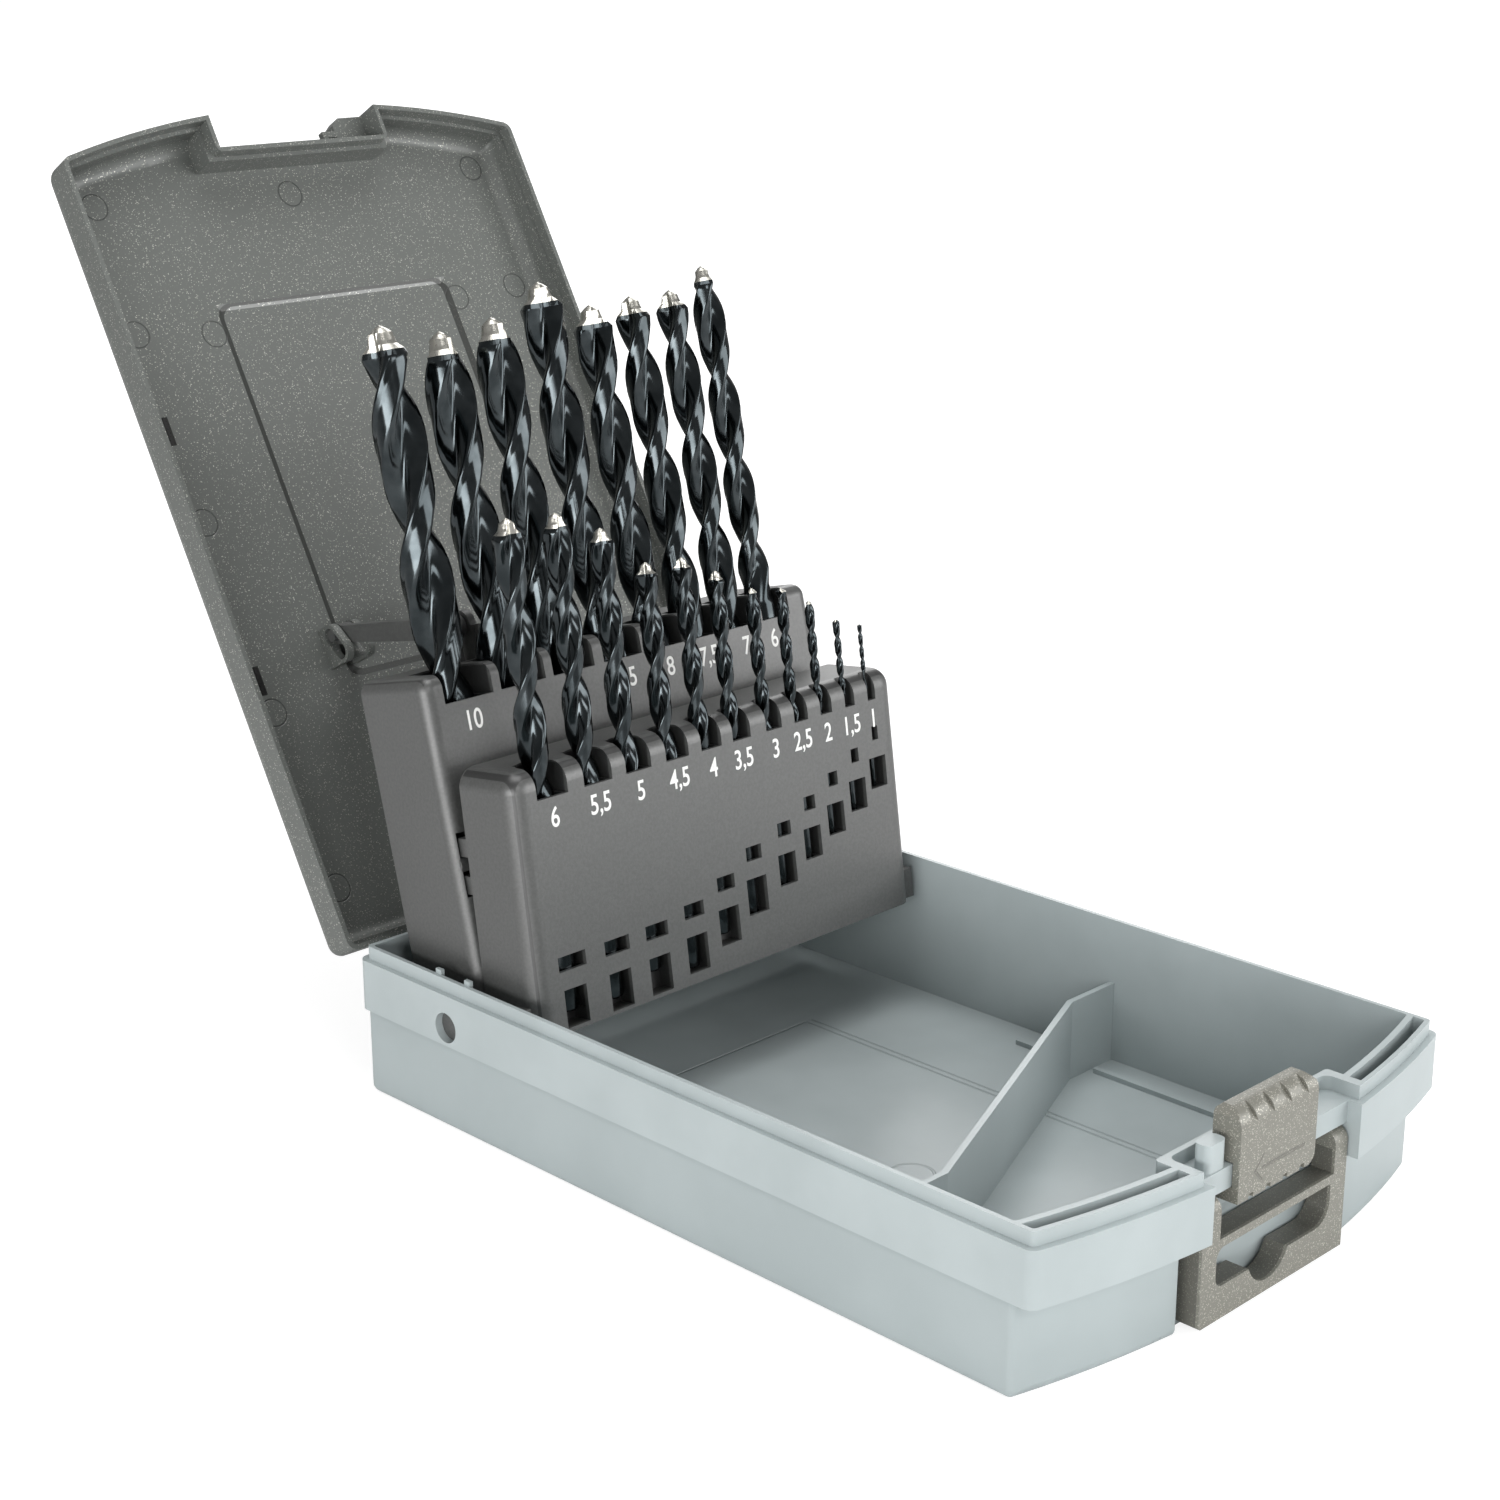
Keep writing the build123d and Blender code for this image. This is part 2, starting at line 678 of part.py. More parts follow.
with BuildPart() as latch_slider:
    with BuildSketch(Plane.XZ.offset(-slider_back_y)) as slider_face:
        with Locations((slider_x, slider_mid_z)):
            Rectangle(slider_width, slider_top_z - slider_low_z)
        chamfer(slider_face.vertices().group_by(Axis.Y)[-1], 1.4)
        fillet(slider_face.vertices().group_by(Axis.Y)[0].sort_by(Axis.X)[-1], 2.2)
    extrude(amount=slider_back_y - slider_front_y)
    with BuildSketch(Plane.YZ.offset(slider_left)) as slider_side:
        with Locations((slider_mid_y, slider_mid_z)):
            Rectangle(slider_back_y - slider_front_y, slider_top_z - slider_low_z)
        fillet(slider_side.vertices().group_by(Axis.Y)[-1].sort_by(Axis.X)[0], 3.2)
        chamfer(slider_side.vertices().group_by(Axis.Y)[-1].sort_by(Axis.X)[-1], 0.8)
    extrude(amount=slider_width, mode=Mode.INTERSECT)

    # channel that wraps the rail, open to the rear
    with BuildSketch(Plane.YZ.offset(slider_left)):
        with Locations((rail_front_y - 0.2 + 5.5, (rail_low_z + band_z) / 2)):
            Rectangle(11.0, band_z - rail_low_z + 0.4)
        with Locations((-82.4, slider_low_z + 0.8)):
            Rectangle(5.4, 5.2)
    extrude(amount=slider_width, mode=Mode.SUBTRACT)

    # pocket in the right end that closes over the catch of the lid
    with BuildSketch(Plane.YZ.offset(slider_right)):
        with Locations((slider_pocket_y + 4.2, (hook_low_z + hook_high_z) / 2)):
            Rectangle(8.4, hook_high_z - hook_low_z + 0.6)
    extrude(amount=-4.2, mode=Mode.SUBTRACT)

    # finger grooves over the top and front edge, small nicks below
    for x in [slider_x + groove_pitch * (n - 1.5) for n in range(4)]:
        with BuildSketch(Plane.YZ.offset(x - groove_width / 2)):
            with Locations(Location((slider_front_y + 0.8, slider_top_z - 0.8, 0), (0, 0, 45))):
                Rectangle(12.0, 1.6)
        extrude(amount=groove_width, mode=Mode.SUBTRACT)
        with Locations((x, slider_front_y, slider_low_z)):
            Box(1.4, 1.0, 1.8, mode=Mode.SUBTRACT)

# ================================================================= hanger flap
with BuildPart() as hanger_flap:
    with BuildSketch(Plane.XZ.offset(-flap_back_y)) as flap_front:
        with Locations(((flap_left + flap_right) / 2, (flap_low_z + flap_pivot_z) / 2)):
            Rectangle(flap_right - flap_left, flap_pivot_z - flap_low_z)
        left_foot, right_foot = flap_front.vertices().group_by(Axis.Y)[0].sort_by(Axis.X)
        fillet(left_foot, 0.8)
        fillet(right_foot, 6.5)
        # gap between the arms, then the hanging slot with its centring bay
        with Locations(((arm_left + arm_right) / 2, crossbar_top_z + 10)):
            Rectangle(arm_right - arm_left, 20, mode=Mode.SUBTRACT)
        with BuildSketch(mode=Mode.PRIVATE) as slot:
            with Locations((slot_x, (slot_low_z + slot_high_z) / 2)):
                Rectangle(slot_width, slot_high_z - slot_low_z)
            fillet(slot.vertices().sort_by(Axis.X)[:2], 2.0)
            fillet(slot.vertices().group_by(Axis.Y)[0].sort_by(Axis.X)[-1], 4.0)
        add(slot.sketch, mode=Mode.SUBTRACT)
        with BuildSketch(mode=Mode.PRIVATE) as bay:
            with Locations((slot_bay_x, slot_bay_z)):
                Circle(slot_bay_r)
            with Locations((slot_bay_x, slot_high_z + 5)):
                Rectangle(20, 12, mode=Mode.SUBTRACT)
        add(bay.sketch, mode=Mode.SUBTRACT)
    extrude(amount=flap_back_y - flap_front_y)

    # rounded tops of the arms, and the pins
    for near, far in ((flap_left, arm_left), (arm_right, flap_right)):
        with BuildSketch(side_plane(near)):
            with Locations((flap_pivot_y, flap_pivot_z)):
                Circle(flap_pivot_y - flap_front_y)
        extrude(amount=far - near)
    for side, outer_x in ((-1, flap_left), (1, flap_right)):
        with BuildSketch(side_plane(outer_x - side)):
            with Locations((flap_pivot_y, flap_pivot_z)):
                Circle(flap_pin_r)
        extrude(amount=side * 2.5)

# ====================================================================== export
bodies = {
    "tray": tray.part,
    "lid": lid.part,
    "front_rack": front_rack.part,
    "rear_rack": rear_rack.part,
    "lid_strut": lid_strut.part,
    "latch_slider": latch_slider.part,
    "hanger_flap": hanger_flap.part,
}
for frame, face_w, sizes in ((front, front_face_w, front_drills), (rear, rear_face_w, rear_drills)):
    for size in sizes:
        bodies[f"drill_{size[0]:04.1f}mm".replace(".", "_")] = drill_bit(frame, face_w, size)

for name, body in bodies.items():
    body.label = name
    export_step(body, f"parts/{name}.step")
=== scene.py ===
from math import cos, pi, radians, sin, tan

import bmesh
import bpy
from mathutils import Matrix, Vector


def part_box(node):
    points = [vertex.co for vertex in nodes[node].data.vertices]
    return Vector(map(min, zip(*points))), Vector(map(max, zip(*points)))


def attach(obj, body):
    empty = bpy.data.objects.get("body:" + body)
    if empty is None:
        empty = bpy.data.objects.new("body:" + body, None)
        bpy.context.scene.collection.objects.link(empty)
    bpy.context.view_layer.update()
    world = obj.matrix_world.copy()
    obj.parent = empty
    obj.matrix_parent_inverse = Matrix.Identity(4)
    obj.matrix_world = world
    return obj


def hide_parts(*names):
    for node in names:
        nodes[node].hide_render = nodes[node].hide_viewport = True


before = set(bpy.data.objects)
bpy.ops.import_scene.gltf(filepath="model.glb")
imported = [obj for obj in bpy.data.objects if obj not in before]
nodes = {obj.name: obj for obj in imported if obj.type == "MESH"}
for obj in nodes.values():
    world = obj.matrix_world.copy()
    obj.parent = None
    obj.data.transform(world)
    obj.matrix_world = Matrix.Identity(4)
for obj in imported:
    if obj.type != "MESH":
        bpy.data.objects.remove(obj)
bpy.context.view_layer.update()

# ---------------------------------------------------------------- tray plastic
# The tray is one moulding of pale blue-grey plastic with a fine spark-eroded
# surface. Its floor carries fine ridges and an ejector mark, and its walls step
# in below the rim band.


class Sock:
    """A shader socket that can be written into sums, products and comparisons."""

    def __init__(self, tree, socket):
        self.tree = tree
        self.socket = socket

    def maths(self, operation, other, flip=False):
        pair = (other, self) if flip else (self, other)
        return self.tree.add("ShaderNodeMath", {"operation": operation}, {0: pair[0], 1: pair[1]})

    def __add__(self, other):
        return self.maths("ADD", other)

    __radd__ = __add__

    def __mul__(self, other):
        return self.maths("MULTIPLY", other)

    __rmul__ = __mul__

    def __sub__(self, other):
        return self.maths("SUBTRACT", other)

    def __rsub__(self, other):
        return self.maths("SUBTRACT", other, flip=True)

    def __pow__(self, other):
        return self.maths("POWER", other)

    def __lt__(self, other):
        return self.maths("LESS_THAN", other)

    def __gt__(self, other):
        return self.maths("GREATER_THAN", other)

    def __abs__(self):
        return self.maths("ABSOLUTE", 0.0)

    def most(self, other):
        return self.maths("MAXIMUM", other)

    def root(self):
        return self.maths("SQRT", 0.0)

    def ramp(self, low, high):
        """0 below low, 1 above high and smooth between."""
        return self.tree.add(
            "ShaderNodeMapRange",
            {"interpolation_type": "SMOOTHSTEP"},
            {"Value": self, "From Min": low, "From Max": high},
        )


class Tree:
    """The nodes of one material or of the world."""

    def __init__(self, node_tree):
        self.nodes = node_tree.nodes
        self.links = node_tree.links

    def add(self, kind, settings, inputs, output=0):
        """A node of a kind, its settings first, then the values or links of its sockets."""
        node = self.nodes.new(kind)
        for name, value in settings.items():
            setattr(node, name, value)
        for key, value in inputs.items():
            if isinstance(value, Sock):
                self.links.new(value.socket, node.inputs[key])
            else:
                node.inputs[key].default_value = value
        return Sock(self, node.outputs[output])

    def feed(self, node, **sockets):
        """Feeds the sockets of a node that is already there from expressions."""
        for name, value in sockets.items():
            self.links.new(value.socket, node.inputs[name.replace("_", " ")])


class Finish(Tree):
    """One surface finish: a material whose fixed values are given with its name."""

    def __init__(self, name, **fixed):
        self.material = bpy.data.materials.new(name)
        self.material.use_nodes = True
        super().__init__(self.material.node_tree)
        self.shader = self.nodes["Principled BSDF"]
        for socket, value in fixed.items():
            self.shader.inputs[socket.replace("_", " ")].default_value = value
        self.place = self.add("ShaderNodeTexCoord", {}, {}, "Object")

    def give(self, **sockets):
        """Feeds the shader with what changes over the surface."""
        self.feed(self.shader, **sockets)

    def axes(self):
        """The three coordinates in metres."""
        return [self.add("ShaderNodeSeparateXYZ", {}, {0: self.place}, n) for n in range(3)]

    def along(self, direction, origin):
        """Distance from origin along a direction, in metres."""
        shift = self.add("ShaderNodeVectorMath", {"operation": "SUBTRACT"}, {0: self.place, 1: origin})
        return self.add(
            "ShaderNodeVectorMath", {"operation": "DOT_PRODUCT"}, {0: shift, 1: direction}, "Value"
        )

    def noise(self, size, detail):
        """Noise whose features are about size metres across."""
        return self.add(
            "ShaderNodeTexNoise", {}, {"Vector": self.place, "Scale": 1 / size, "Detail": detail}
        )

    def flakes(self, per_metre, rare, full):
        """Metal flakes: cells whose chance is over rare, at their brightest from full on."""
        cells = self.add(
            "ShaderNodeTexVoronoi", {"feature": "F1"}, {"Vector": self.place, "Scale": per_metre}, "Color"
        )
        return self.add("ShaderNodeSeparateColor", {}, {0: cells}).ramp(rare, full)

    def mix(self, amount, low, high):
        """Colour between two colours."""
        return self.add("ShaderNodeMix", {"data_type": "RGBA"}, {0: amount, 6: low, 7: high}, 2)

    def bump(self, height, depth):
        """Normal from a height map that runs 0 to 1 over depth metres."""
        return self.add("ShaderNodeBump", {}, {"Height": height, "Distance": depth, "Strength": 1.0})


def dress(name, finish):
    """Gives a node of the frame its finish."""
    worn = nodes[name].data.materials
    worn.clear()
    worn.append(finish.material)


def colour(red, green, blue):
    """Linear colour from screen values of 0 to 255."""
    return tuple(((c / 255 + 0.055) / 1.055) ** 2.4 if c > 10 else c / 3294.6
                 for c in (red, green, blue)) + (1.0,)


def disc(across, up, centre, radius, edge=0.00008):
    """1 inside a circle drawn on a flat face, soft at its edge."""
    reach = ((across - centre[0]) ** 2 + (up - centre[1]) ** 2).root()
    return 1 - reach.ramp(radius - edge, radius + edge)


def slab(across, up, low, high, corner, edge=0.00008):
    """1 inside a rectangle with rounded corners drawn on a flat face."""
    middle = ((low[0] + high[0]) / 2, (low[1] + high[1]) / 2)
    half = ((high[0] - low[0]) / 2 - corner, (high[1] - low[1]) / 2 - corner)
    side = (abs(across - middle[0]) - half[0]).most(0.0)
    head = (abs(up - middle[1]) - half[1]).most(0.0)
    reach = (side * side + head * head).root()
    return 1 - reach.ramp(corner - edge, corner + edge)


def circle(across, up, centre, radius, line):
    """1 on a circle drawn on a flat face with a line of some width."""
    return disc(across, up, centre, radius) - disc(across, up, centre, radius - line)


def stroke(distance, half, edge=0.0002):
    """1 on a straight line, from the distance to its middle."""
    return 1 - abs(distance).ramp(half, half + edge)


tray_grey = Finish("tray_grey", Roughness=0.4)
x, y, z = tray_grey.axes()
mottle = tray_grey.noise(0.02, 3)
grain = tray_grey.noise(0.00022, 2)
tray_base = tray_grey.mix(mottle.ramp(0.3, 0.7), colour(164, 173, 174), colour(171, 180, 181))

# on the floor: a pair of fine ridges along each side, one across, and an ejector mark
floor_z = 0.001
ridge_near = 0.0262
ridge_far = 0.0278
ridge_rear = 0.044
ridge_half = 0.00012
on_floor = (z > 0.5 * floor_z) * (z < 1.3 * floor_z)
ridges_along = stroke(abs(x) - ridge_near, ridge_half) + stroke(abs(x) - ridge_far, ridge_half)
ridges_along = ridges_along * (y < ridge_rear)
ridge_across = stroke(y - ridge_rear, ridge_half) * (abs(x) < ridge_near)
ejector_mark = circle(x, y, (-0.0105, -0.018), 0.0045, 0.0005)
marks = (ridges_along.most(ridge_across) + 0.8 * ejector_mark) * on_floor

# painted shade: the outer wall below the step of the rim band is darkened in colour, most just under the
# step, where it stands in the band's shade
band_low = 0.018
crease_height = 0.002
wall_side = 0.0555
wall_front = -0.0760
wall_back = 0.0845
facing = tray_grey.add("ShaderNodeTexCoord", {}, {}, "Normal")
facing_x, facing_y = [tray_grey.add("ShaderNodeSeparateXYZ", {}, {0: facing}, n) for n in range(2)]
outward = (x * facing_x + y * facing_y) > 0.0
at_wall = (abs(x) > wall_side).most(y < wall_front).most(y > wall_back)
below = (z < band_low) * outward * at_wall
crease_shade = below * z.ramp(band_low - crease_height, band_low)
tray_base = tray_grey.mix(below * 0.3 + crease_shade * 0.3, tray_base, colour(136, 146, 147))
tray_grey.give(
    Base_Color=tray_grey.mix(marks * 0.35, tray_base, colour(120, 130, 131)),
    Roughness=0.30 + 0.12 * mottle,
    Normal=tray_grey.bump(grain * 0.04 - marks, 0.0002),
)
dress("tray", tray_grey)

# ------------------------------------------------------------------ lid plastic
# The lid is moulded in dark grey plastic filled with metal flake. Its inner skin
# has a polished sunk panel and the round marks of the ejector pins.

lid_flake = Finish("lid_flake", Roughness=0.38, Coat_Roughness=0.16)
lid_flakes = lid_flake.flakes(5600, 0.93, 0.99)
lid_base = lid_flake.mix(lid_flakes, colour(96, 99, 96), colour(190, 190, 182))

# places on the inside are given across and up from the hinge line, with the lid open
open_turn = radians(119.6)
hinge = (0, 0.0852, 0.0281)
across = lid_flake.axes()[0]
up_lid = lid_flake.along((0, -cos(open_turn), sin(open_turn)), hinge)
depth = lid_flake.along((0, sin(open_turn), cos(open_turn)), hinge)
skin_low = 0.0087
skin_high = 0.0100
panel_depth = 0.0098
on_skin = (depth > skin_low) * (depth < skin_high)

# round marks of the ejector pins
ejector_r = 0.003
ejector_line = 0.0003
ejector_spots = [
    (-0.049, 0.162), (-0.001, 0.161), (0.050, 0.163), (-0.050, 0.134), (-0.032, 0.132),
    (0.033, 0.133), (0.050, 0.134), (-0.050, 0.093), (-0.050, 0.052), (-0.050, 0.0146),
]
rings = 0.0
for spot in ejector_spots:
    rings = rings + circle(across, up_lid, spot, ejector_r, ejector_line)
rings = rings * (depth < panel_depth)

# painted shade: near-black colour on the blind slot holes beside the side walls, over a band wider than
# each cut, as their bottoms are unlit
slot_half_width = 0.0015
slot_half_length = 0.0031
slot_x = 0.0514
slot_shade = 0.0
for slot_side in (-slot_x, slot_x):
    for slot_up in (0.059, 0.113):
        slot_low = (slot_side - slot_half_width, slot_up - slot_half_length)
        slot_high = (slot_side + slot_half_width, slot_up + slot_half_length)
        slot_shade = slot_shade + slab(across, up_lid, slot_low, slot_high, 0.0001)
lid_base = lid_flake.mix(slot_shade * on_skin, lid_base, colour(14, 14, 13))

# the sunk panel is polished, and its sloping rim is in shade, painted into the colour as a dark band
panel_low = (-0.0295, 0.0552)
panel_high = (0.0315, 0.1382)
panel_rim = 0.0014
panel = slab(across, up_lid, panel_low, panel_high, 0.0035)
polish_low = (panel_low[0] + panel_rim, panel_low[1] + panel_rim)
polish_high = (panel_high[0] - panel_rim, panel_high[1] - 0.5 * panel_rim)
polish = slab(across, up_lid, polish_low, polish_high, 0.0030)
lid_base = lid_flake.mix((panel - polish) * on_skin * 0.85, lid_base, colour(38, 39, 37))
lid_flake.give(
    Coat_Weight=polish * on_skin * 0.7,
    Base_Color=lid_flake.mix(rings * 0.7, lid_base, colour(52, 54, 52)),
    Metallic=0.05 + 0.6 * lid_flakes,
    Roughness=0.34 + 0.10 * lid_flake.noise(0.012, 3),
    Normal=lid_flake.bump(lid_flake.noise(0.0003, 2) * 0.08 - rings, 0.0001),
)
dress("lid", lid_flake)

# ---------------------------------------------------------------- rack plastic
# Both racks, and the strut that ties the rear rack to the lid, are moulded in
# black plastic with an even satin grain. They turn on moulded pins. Pockets and
# windows are unlit inside, and that shade is painted near-black into the colour.

rack_pivot = (0, 0.05745, 0.0217)
front_lean = radians(7.94)
rear_lean = radians(14.0)
# lean, then face, back, foot and top of the rack from its pivot
rack_shapes = {
    "front_rack": (front_lean, 0.0205, 0.0051, -0.0015, 0.0490),
    "rear_rack": (rear_lean, 0.0046, -0.0152, -0.0045, 0.0656),
}
rack_hollow_half = 0.0507
rack_skin = 0.0009
rack_back_skin = 0.0003
rack_foot_skin = 0.0005
rack_top_skin = 0.0004


def rack_black(name):
    """Satin black plastic, with painted shade darkening the hollows of a rack where it has them."""
    finish = Finish(f"black_{name}", Roughness=0.4, Specular_IOR_Level=0.9)
    base = finish.mix(finish.noise(0.0006, 4).ramp(0.3, 0.7), colour(64, 65, 64), colour(74, 75, 74))
    if name in rack_shapes:
        lean, face, back, foot, top = rack_shapes[name]
        out = finish.along((0, -cos(lean), sin(lean)), rack_pivot)
        up = finish.along((0, sin(lean), cos(lean)), rack_pivot)
        hollow_shade = (out < face - rack_skin) * (out > back + rack_back_skin)
        hollow_shade = hollow_shade * (up > foot + rack_foot_skin) * (up < top - rack_top_skin)
        hollow_shade = hollow_shade * (abs(finish.axes()[0]) < rack_hollow_half)
        # painted shade: the inside of pockets and windows is coloured near-black
        base = finish.mix(hollow_shade * 0.8, base, colour(12, 12, 12))
    finish.give(
        Base_Color=base,
        Roughness=0.36 + 0.1 * finish.noise(0.01, 2),
        Normal=finish.bump(finish.noise(0.0003, 3), 0.00002),
    )
    return finish


for name in ("front_rack", "rear_rack", "lid_strut"):
    dress(name, rack_black(name))

# -------------------------------------------------------------- latch plastic
# The slider, which runs on the rail across the notch, and the hanger flap hinged
# below it are moulded in one warm grey plastic with a finer metal flake.

latch_flake = Finish("latch_flake", Roughness=0.4)
latch_flakes = latch_flake.flakes(6500, 0.85, 0.99)
latch_base = latch_flake.mix(latch_flakes, colour(121, 120, 112), colour(190, 188, 176))

# a plain arrow sunk in the front of the slider points the way it opens
x, y, z = latch_flake.axes()
arrow_z = 0.0259
arrow_tip = -0.0075
arrow_tail = 0.0070
arrow_half = 0.0003
slider_face = -0.0894
shaft = slab(x, z, (arrow_tip + 0.002, arrow_z - arrow_half), (arrow_tail, arrow_z + arrow_half), 0.0002)
barbs = stroke(abs(z - arrow_z) - (x - arrow_tip), 0.0002)
barbs = barbs * (x > arrow_tip - arrow_half) * (x < arrow_tip + 0.0025)
arrow = shaft.most(barbs) * (y < slider_face)

# painted shade: the flap's cross bar and the walls of its slot are darkened in colour, where they stay in
# shade
flap_face = -0.0884
bar_top = 0.0205
shaded = (y > flap_face) * (z < bar_top)
latch_base = latch_flake.mix(shaded * 0.6, latch_base, colour(66, 65, 60))
latch_flake.give(
    Base_Color=latch_flake.mix(arrow * 0.45, latch_base, colour(84, 82, 76)),
    Metallic=0.08 + 0.45 * latch_flakes,
    Roughness=0.36 + 0.1 * latch_flake.noise(0.004, 2),
    Normal=latch_flake.bump(latch_flake.noise(0.0003, 2) * 0.06 - arrow, 0.00015),
)
for name in ("latch_slider", "hanger_flap"):
    dress(name, latch_flake)

# ---------------------------------------------------------------- twist drills
# Jobber drills of black oxidised steel: round shank, two helical flutes rolled
# to 30 degrees, and a point ground bright after blackening.

drill_oxide = Finish("drill_oxide", Roughness=0.2, Metallic=1.0)
oxide_tone = drill_oxide.noise(0.004, 3).ramp(0.3, 0.7)
drill_oxide.give(
    Base_Color=drill_oxide.mix(oxide_tone, colour(52, 57, 59), colour(68, 73, 75)),
    Roughness=0.10 + 0.12 * drill_oxide.noise(0.003, 3),
)
drill_ground = Finish("drill_ground", Roughness=0.25, Metallic=1.0)
ground_tone = drill_ground.noise(0.0008, 3)
drill_ground.give(
    Base_Color=drill_ground.mix(ground_tone, colour(168, 166, 158), colour(206, 204, 196)),
    Roughness=0.22 + 0.14 * drill_ground.noise(0.0006, 2),
)

# diameter: overall length and flute length, all in mm
jobber_lengths = {
    1.0: (34, 12), 1.5: (40, 18), 2.0: (49, 24), 2.5: (57, 30), 3.0: (61, 33),
    3.5: (70, 39), 4.0: (75, 43), 4.5: (80, 47), 5.0: (86, 52), 5.5: (93, 57),
    6.0: (93, 57), 6.5: (101, 63), 7.0: (109, 69), 7.5: (109, 69), 8.0: (117, 75),
    8.5: (117, 75), 9.0: (125, 81), 9.5: (125, 81), 10.0: (133, 87),
}
last_in_front = 6.0  # larger drills stand in the rear rack
turn_steps = 48
steps_per_turn_up = 30  # levels over half a turn of the flutes

# the section, for a drill of radius 1
margin_end = radians(9)
heel_start = radians(66)
relieved = 0.95
web = 0.26
flute_skew = 0.82
flute_hollow = 2.2

# lengths in diameters
lead_length = pi / tan(radians(30))
run_out_length = 0.9
foot_chamfer = 0.08
foot_chamfer_in = 0.16  # of the radius
nose_length = 0.60

# small drills end in a cone, larger ones in a stepped nose: rise in diameters, reach in radii
point_half_angle = radians(59)
nose_from = 0.00325
cone_reaches = (1.0, 0.72, 0.44, 0.2)
nose_levels = ((0.11, 0.82), (0.22, 0.58), (0.30, 0.52), (0.44, 0.46), (0.53, 0.24), (0.585, 0.05))


def section_reach(turn):
    """Reach of the fluted section at an angle, for a drill of radius 1."""
    half = turn % pi
    if half < margin_end:
        return 1.0
    if half < heel_start:
        return relieved
    over_flute = (half - heel_start) / (pi - heel_start)
    wall = relieved + (1 - relieved) * over_flute
    return web + (wall - web) * abs(2 * over_flute**flute_skew - 1) ** flute_hollow


def body_levels(shank_top, body_top, lead, diameter):
    """Heights of the rings from the foot to the foot of the point."""
    heights = [0.0, foot_chamfer * diameter]
    level = heights[-1]
    while level < shank_top:
        level += max(lead / 6, 0.004)
        heights.append(min(level, shank_top))
    while level < body_top:
        level += lead / steps_per_turn_up
        heights.append(min(level, body_top))
    return heights


def point_rings(section, diameter, length, body_top):
    """Rings of the ground point, each a list of reaches with their heights."""
    if diameter > nose_from:
        return [
            [(min(reach, cap), body_top + rise * diameter) for reach in section]
            for rise, cap in nose_levels
        ]
    drop = diameter / 2 / tan(point_half_angle)
    return [
        [(reach * inward, length - drop * reach * inward) for reach in section]
        for inward in cone_reaches
    ]


def fluted_drill(name, diameter, length, flute, foot, lean, turned):
    """One drill standing on foot, leaning back by lean and turned about its own axis."""
    radius = diameter / 2
    stepped = diameter > nose_from
    body_top = length - (nose_length * diameter if stepped else radius / tan(point_half_angle))
    run_out = run_out_length * diameter
    flute_low = length - flute
    shank_top = flute_low - 1.2 * run_out
    lead = lead_length * diameter
    section = [section_reach(2 * pi * step / turn_steps) for step in range(turn_steps)]
    rings = []
    for height in body_levels(shank_top, body_top, lead, diameter):
        cut = min(max((height - flute_low + run_out) / run_out, 0.0), 1.0)
        cut = cut * cut * (3 - 2 * cut)
        chamfer = 0 if rings else foot_chamfer_in
        rings.append([(1 + (reach - 1) * cut - chamfer, height) for reach in section])
    point_start = len(rings)
    rings += point_rings(section, diameter, length, body_top)

    mesh = bmesh.new()
    rows = []
    for ring in rings:
        row = []
        for step, (reach, height) in enumerate(ring):
            climbed = min(max(height, shank_top), body_top) - flute_low
            angle = 2 * pi * (step / turn_steps + climbed / lead) + turned
            row.append(mesh.verts.new((radius * reach * cos(angle), radius * reach * sin(angle), height)))
        rows.append(row)
    for n, (row, above) in enumerate(zip(rows, rows[1:])):
        for step in range(turn_steps):
            after = (step + 1) % turn_steps
            face = mesh.faces.new((row[step], row[after], above[after], above[step]))
            face.smooth = n < point_start - 1
            face.material_index = 1 if n >= point_start else 0
    tip = mesh.verts.new((0, 0, length))
    heel = mesh.verts.new((0, 0, 0))
    for step in range(turn_steps):
        after = (step + 1) % turn_steps
        mesh.faces.new((rows[-1][step], rows[-1][after], tip)).material_index = 1
        mesh.faces.new((rows[0][after], rows[0][step], heel))
    stand = Matrix.Translation(foot) @ Matrix.Rotation(-lean, 4, "X")
    bmesh.ops.transform(mesh, matrix=stand, verts=mesh.verts)
    data = bpy.data.meshes.new(name)
    mesh.to_mesh(data)
    mesh.free()
    data.materials.append(drill_oxide.material)
    data.materials.append(drill_ground.material)
    piece = bpy.data.objects.new(name, data)
    bpy.context.collection.objects.link(piece)
    return piece


for count, (size, (length, flute)) in enumerate(jobber_lengths.items()):
    node = f"drill_{size:04.1f}mm".replace(".", "_")
    lean = front_lean if size <= last_in_front else rear_lean
    low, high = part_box(node)
    # the drill's box is as wide as its shank and leans with the rack
    foot = Vector((
        (low[0] + high[0]) / 2,
        low[1] + size / 2000 * cos(lean),
        low[2] + size / 2000 * sin(lean),
    ))
    piece = fluted_drill(
        f"twist_{node}", size / 1000, length / 1000, flute / 1000, foot, lean, 1.1 + 0.7 * count
    )
    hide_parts(node)
    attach(piece, node)

# ---------------------------------------------------------------- size numbers
# Size numbers are printed in white on the face of each rack, below the mouth of
# its pocket, with a comma for the half millimetres.

print_white = Finish("print_white", Roughness=0.55)
print_tone = print_white.noise(0.0004, 2)
print_white.give(Base_Color=print_white.mix(print_tone, colour(226, 227, 224), colour(240, 240, 238)))

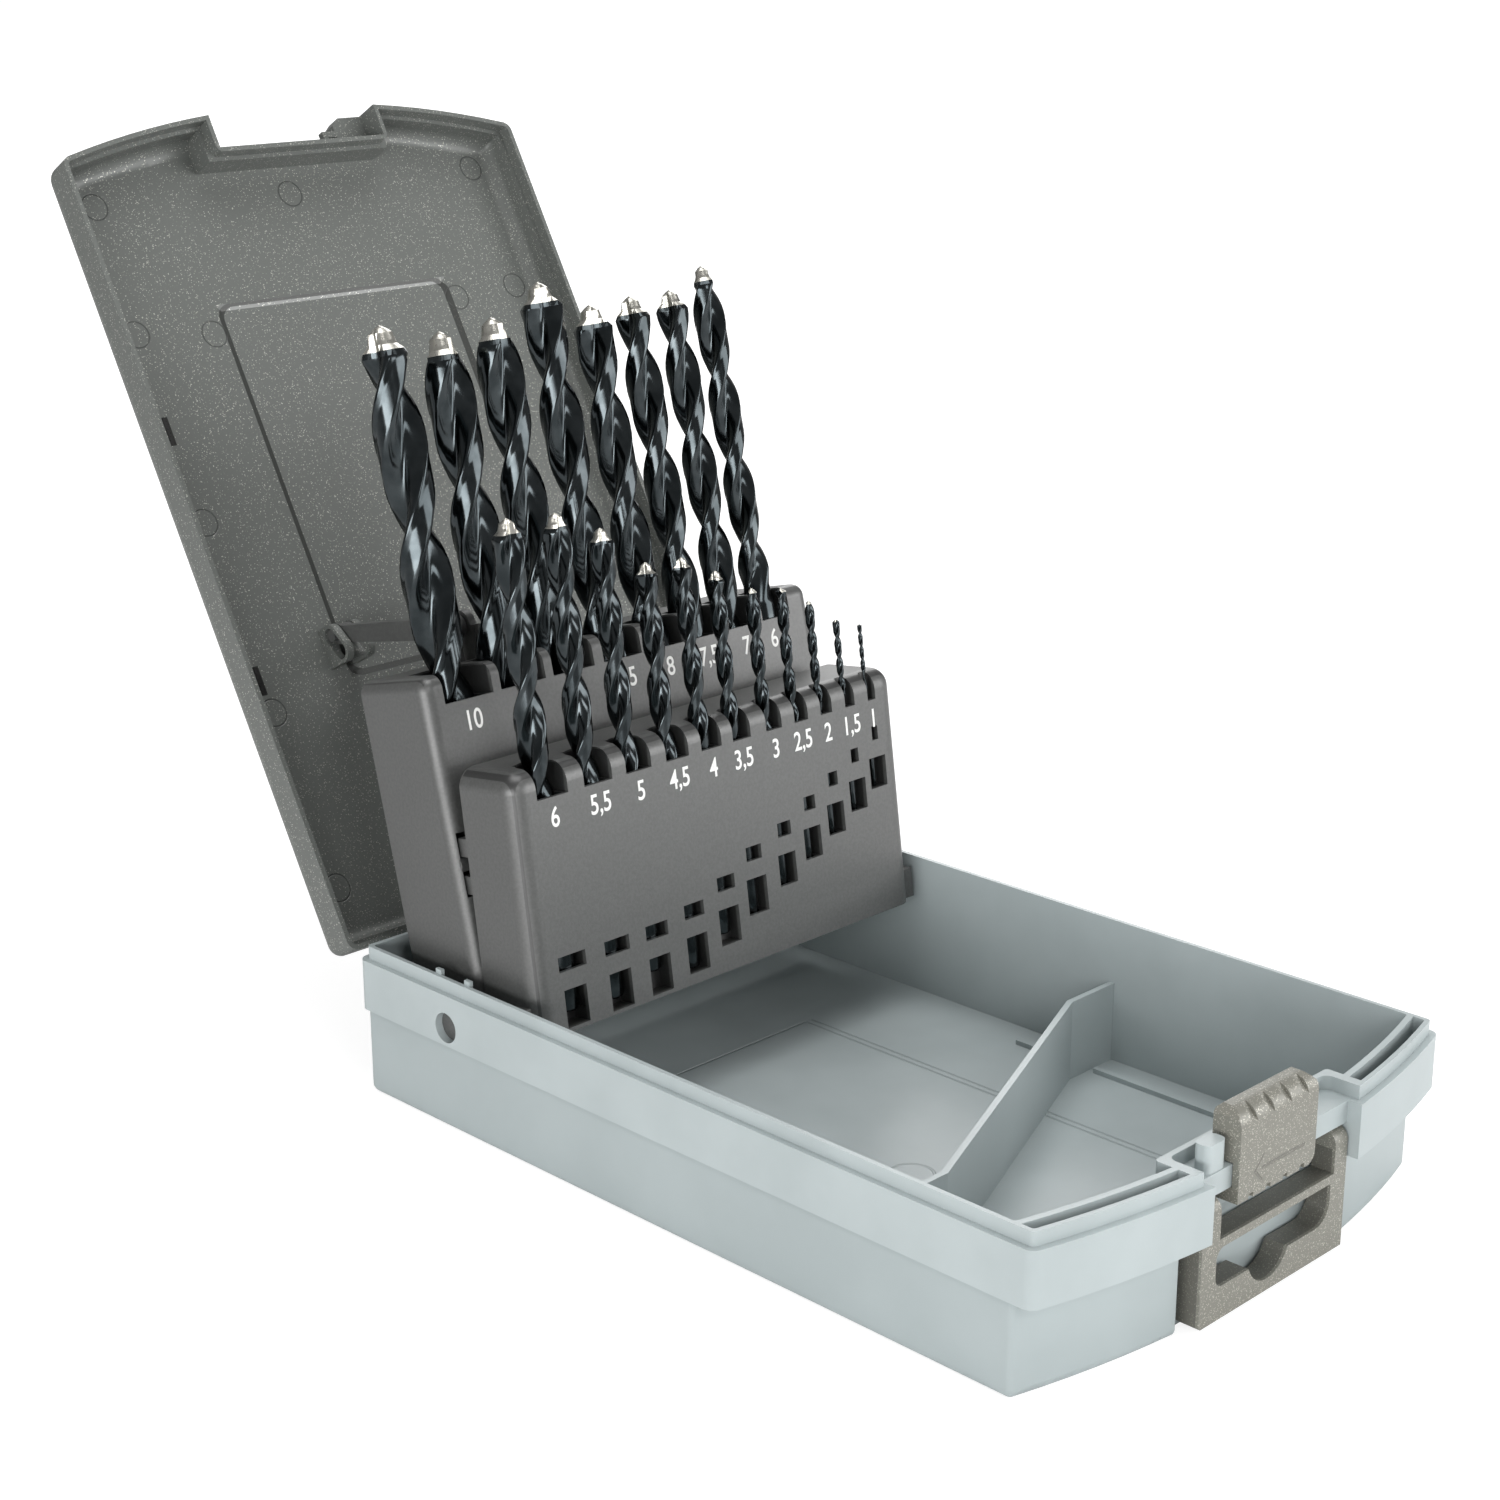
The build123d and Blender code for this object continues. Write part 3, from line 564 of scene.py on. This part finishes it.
number_height = 0.0054
number_narrow = 0.82
print_lift = 0.000012
number_levels = {"front_rack": 0.0392, "rear_rack": 0.0556}
for size in jobber_lengths:
    rack = "front_rack" if size <= last_in_front else "rear_rack"
    lean, face = rack_shapes[rack][:2]
    up = Vector((0, sin(lean), cos(lean)))
    out = Vector((0, -cos(lean), sin(lean)))
    low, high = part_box(f"drill_{size:04.1f}mm".replace(".", "_"))
    text = bpy.data.curves.new(f"size_number_{size:04.1f}".replace(".", "_"), "FONT")
    text.body = f"{size:g}".replace(".", ",")
    text.size = number_height
    text.align_x = "CENTER"
    text.align_y = "CENTER"
    text.extrude = 0.000005
    text.offset = 0.00006
    text.materials.append(print_white.material)
    number = bpy.data.objects.new(text.name, text)
    bpy.context.collection.objects.link(number)
    place = Vector(rack_pivot) + up * number_levels[rack] + out * (face + print_lift)
    place.x = (low[0] + high[0]) / 2
    turn = Matrix((Vector((number_narrow, 0, 0)), up, out)).transposed().to_4x4()
    number.matrix_world = Matrix.Translation(place) @ turn
    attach(number, rack)

# ------------------------------------------------------------- floor and light
# A pale floor that runs up to nothing, soft lamps on both sides, and a camera at
# the height of someone seated in front of the case.

floor_half = 3
floor_mesh = bmesh.new()
floor_corners = [
    floor_mesh.verts.new((floor_half * side, floor_half * end, 0))
    for side, end in ((-1, -1), (1, -1), (1, 1), (-1, 1))
]
floor_mesh.faces.new(floor_corners)
floor_data = bpy.data.meshes.new("floor")
floor_mesh.to_mesh(floor_data)
floor_mesh.free()
floor = bpy.data.objects.new("floor", floor_data)
bpy.context.collection.objects.link(floor)

# seen straight on, the floor glows white away from the case and keeps its shadow near it
floor_pale = Finish("floor_pale", Roughness=0.9, Base_Color=(0.9, 0.9, 0.9, 1))
seen = floor_pale.add("ShaderNodeLightPath", {}, {}, "Is Camera Ray")
glow = floor_pale.add("ShaderNodeEmission", {}, {"Color": (1, 1, 1, 1), "Strength": 1.4})
x, y = floor_pale.axes()[:2]
whiteness = 0.6 + 0.4 * (x * x + y * y).root().ramp(0.3, 0.7)
plain = Sock(floor_pale, floor_pale.shader.outputs[0])
surface = floor_pale.add("ShaderNodeMixShader", {}, {0: seen * whiteness, 1: plain, 2: glow})
floor_pale.feed(floor_pale.nodes["Material Output"], Surface=surface)
floor_data.materials.append(floor_pale.material)

fill_level = 0.18
sheen_level = 0.3
backdrop_level = 1.05
world = bpy.data.worlds.new("studio")
world.use_nodes = True
bpy.context.scene.world = world
studio = Tree(world.node_tree)
sky = studio.nodes["Background"]
sky.inputs["Color"].default_value = (1, 1, 1, 1)
mirrored = studio.add("ShaderNodeLightPath", {}, {}, "Is Glossy Ray")
seen = studio.add("ShaderNodeLightPath", {}, {}, "Is Camera Ray")
level = fill_level + (sheen_level - fill_level) * mirrored
studio.feed(sky, Strength=level + (backdrop_level - level) * seen)


def softbox(name, place, aim, size, power):
    """A rectangular lamp that looks at a point."""
    lamp = bpy.data.lights.new(name, "AREA")
    lamp.shape = "RECTANGLE"
    lamp.size, lamp.size_y = size
    lamp.energy = power
    holder = bpy.data.objects.new(name, lamp)
    holder.location = place
    holder.rotation_euler = (Vector(aim) - Vector(place)).to_track_quat("-Z", "Y").to_euler()
    bpy.context.collection.objects.link(holder)


softbox("key", (-1.1, -0.40, 0.17), (0, 0, 0.06), (1.1, 0.3), 10.5)
softbox("front", (0.75, -1.05, 0.42), (0, 0, 0.06), (1.2, 0.7), 13)
softbox("left", (-0.5, -1.1, 0.8), (0, 0, 0.06), (0.4, 0.4), 3)
softbox("top", (0.1, 0.1, 1.3), (0, 0, 0.05), (0.9, 0.9), 11)
softbox("back", (1.0, 0.9, 0.7), (0, 0.05, 0.05), (0.6, 0.8), 5)

eye = Vector((-0.34606, -0.31047, 0.22553))
heading = radians(45.117)
dip = radians(-17.806)
tip_over = radians(-0.085)
sensor_width = 36
focal_length = 1.784033  # in picture widths
camera_data = bpy.data.cameras.new("camera")
camera_data.sensor_width = sensor_width
camera_data.lens = focal_length * sensor_width
camera = bpy.data.objects.new("camera", camera_data)
camera.matrix_world = (
    Matrix.Translation(eye)
    @ Matrix.Rotation(-heading, 4, "Z")
    @ Matrix.Rotation(radians(90) + dip, 4, "X")
    @ Matrix.Rotation(tip_over, 4, "Z")
)
bpy.context.collection.objects.link(camera)
bpy.context.scene.camera = camera
bpy.context.scene.view_settings.view_transform = "Standard"
